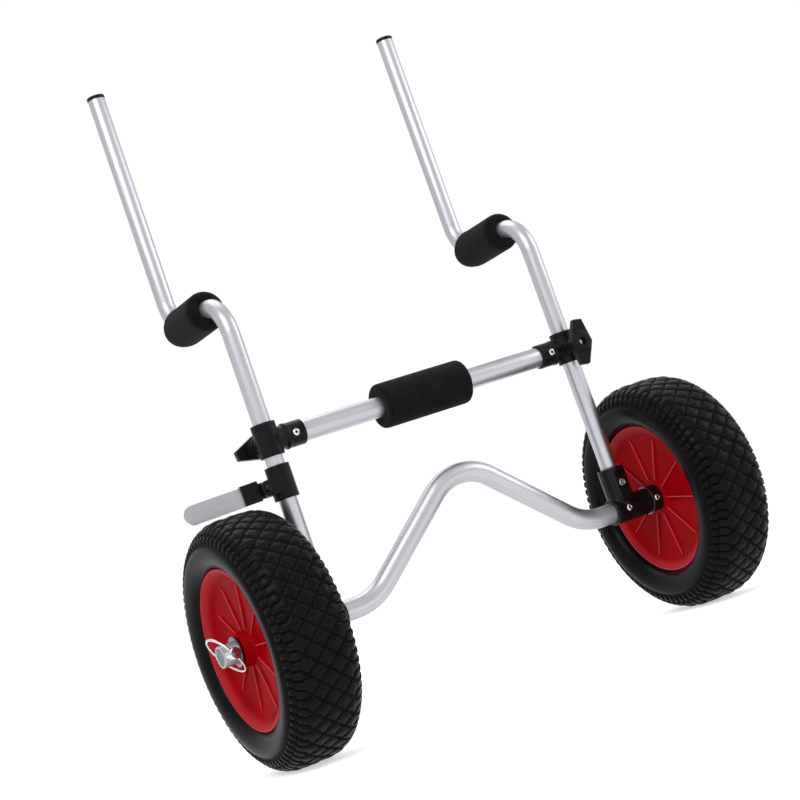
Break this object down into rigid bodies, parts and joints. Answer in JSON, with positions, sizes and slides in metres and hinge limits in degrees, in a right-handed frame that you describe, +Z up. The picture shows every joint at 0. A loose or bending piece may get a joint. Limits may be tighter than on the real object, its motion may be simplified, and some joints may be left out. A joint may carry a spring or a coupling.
{
  "type": "kayak cart",
  "caption": "Scupper cart for a sit-on-top kayak: bent aluminium posts with foam shoulders, a padded crossbar, an arched axle tube and red-rimmed wheels held by linch pins.",
  "frame": {"origin": "centre of the bounding box in plan, on the floor under the tyres", "axes": "+X to the side along the axle, -Y towards the side the posts' feet stand on, +Z up along the posts"},
  "size_m": [0.6298, 0.279, 0.7435],
  "materials": {
    "aluminium_tube": "satin drawn aluminium tube",
    "bright_steel": "zinc-plated bright steel",
    "black_steel": "blackened steel",
    "black_nylon": "moulded black nylon with a fine grain",
    "grey_plug": "moulded grey plastic",
    "black_foam": "matt closed-cell foam",
    "tyre": "black tread rubber",
    "red_rim": "red moulded plastic",
    "stand_grey": "grey flat bar"
  },
  "bodies": {
    "frame": {"axle_tube": "aluminium_tube", "crossbar_tube": "aluminium_tube", "crossbar_foam": "black_foam", "left_axle_plug": "grey_plug", "left_axle_block": "black_nylon", "left_block_rivet": "bright_steel", "left_post_screw": "bright_steel", "left_inner_washer": "bright_steel", "left_outer_washer": "bright_steel", "left_spacer_collar": "black_nylon", "left_collar_rivet": "bright_steel", "left_tee": "black_nylon", "left_tee_rivet": "bright_steel", "left_knob_nut": "bright_steel", "right_axle_plug": "grey_plug", "right_axle_block": "black_nylon", "right_block_rivet": "bright_steel", "right_post_screw": "bright_steel", "right_inner_washer": "bright_steel", "right_outer_washer": "bright_steel", "right_spacer_collar": "black_nylon", "right_collar_rivet": "bright_steel", "right_tee": "black_nylon", "right_tee_rivet": "bright_steel", "right_knob_nut": "bright_steel"},
    "left_post": {"left_post_tube": "aluminium_tube", "left_shoulder_foam": "black_foam", "left_post_cap": "black_nylon", "kickstand_collar": "black_nylon", "kickstand_bolt": "black_steel", "kickstand_nut": "black_steel"},
    "right_post": {"right_post_tube": "aluminium_tube", "right_shoulder_foam": "black_foam", "right_post_cap": "black_nylon"},
    "kickstand": {"kickstand_leg": "stand_grey", "kickstand_pad": "black_nylon"},
    "left_wheel": {"left_tyre": "tyre", "left_rim_outer": "red_rim", "left_rim_inner": "red_rim", "left_outer_bush": "black_nylon", "left_inner_bush": "black_nylon"},
    "right_wheel": {"right_tyre": "tyre", "right_rim_outer": "red_rim", "right_rim_inner": "red_rim", "right_outer_bush": "black_nylon", "right_inner_bush": "black_nylon"},
    "left_knob": {"left_knob": "black_nylon", "left_knob_stud": "bright_steel"},
    "right_knob": {"right_knob": "black_nylon", "right_knob_stud": "bright_steel"},
    "left_pin": {"left_linch_pin": "bright_steel"},
    "left_ring": {"left_pin_ring": "bright_steel"},
    "right_pin": {"right_linch_pin": "bright_steel"},
    "right_ring": {"right_pin_ring": "bright_steel"}
  },
  "joints": [
    {"name": "left_post_swivel", "type": "hinge", "parent": "frame", "child": "left_post", "pos_m": [-0.1867, -0.0125, 0.2], "axis": [0, 0, 1], "range_deg": [-90, 90]},
    {"name": "right_post_swivel", "type": "hinge", "parent": "frame", "child": "right_post", "pos_m": [0.1867, -0.0125, 0.2], "axis": [0, 0, 1], "range_deg": [-90, 90]},
    {"name": "kickstand_fold", "type": "hinge", "parent": "left_post", "child": "kickstand", "pos_m": [-0.2057, -0.0125, 0.26795], "axis": [0, 1, 0], "range_deg": [0, 60]},
    {"name": "left_wheel_spin", "type": "hinge", "parent": "frame", "child": "left_wheel", "pos_m": [-0.254, -0.0125, 0.127], "axis": [-1, 0, 0], "continuous": true},
    {"name": "right_wheel_spin", "type": "hinge", "parent": "frame", "child": "right_wheel", "pos_m": [0.254, -0.0125, 0.127], "axis": [1, 0, 0], "continuous": true},
    {"name": "left_knob_turn", "type": "hinge", "parent": "frame", "child": "left_knob", "pos_m": [-0.1867, 0.0175, 0.31295], "axis": [0, 1, 0], "range_deg": [0, 270]},
    {"name": "right_knob_turn", "type": "hinge", "parent": "frame", "child": "right_knob", "pos_m": [0.1867, -0.0425, 0.31295], "axis": [0, -1, 0], "range_deg": [0, 270]},
    {"name": "left_pin_slide", "type": "slide", "parent": "frame", "child": "left_pin", "axis": [0, -1, 0], "range_m": [0, 0.03575]},
    {"name": "left_ring_flip", "type": "hinge", "parent": "left_pin", "child": "left_ring", "pos_m": [-0.3013, -0.0357, 0.127], "axis": [-0.5299, 0, 0.848], "range_deg": [0, 160]},
    {"name": "right_pin_slide", "type": "slide", "parent": "frame", "child": "right_pin", "axis": [0, 1, 0], "range_m": [0, 0.03575]},
    {"name": "right_ring_flip", "type": "hinge", "parent": "right_pin", "child": "right_ring", "pos_m": [0.3013, 0.0107, 0.127], "axis": [0.5299, 0, 0.848], "range_deg": [0, 160]}
  ],
  "couplings": [
    {"joint": "left_pin_slide", "follows": "left_ring_flip", "m_per_rad": 0.0128},
    {"joint": "right_pin_slide", "follows": "right_ring_flip", "m_per_rad": 0.0128}
  ]
}
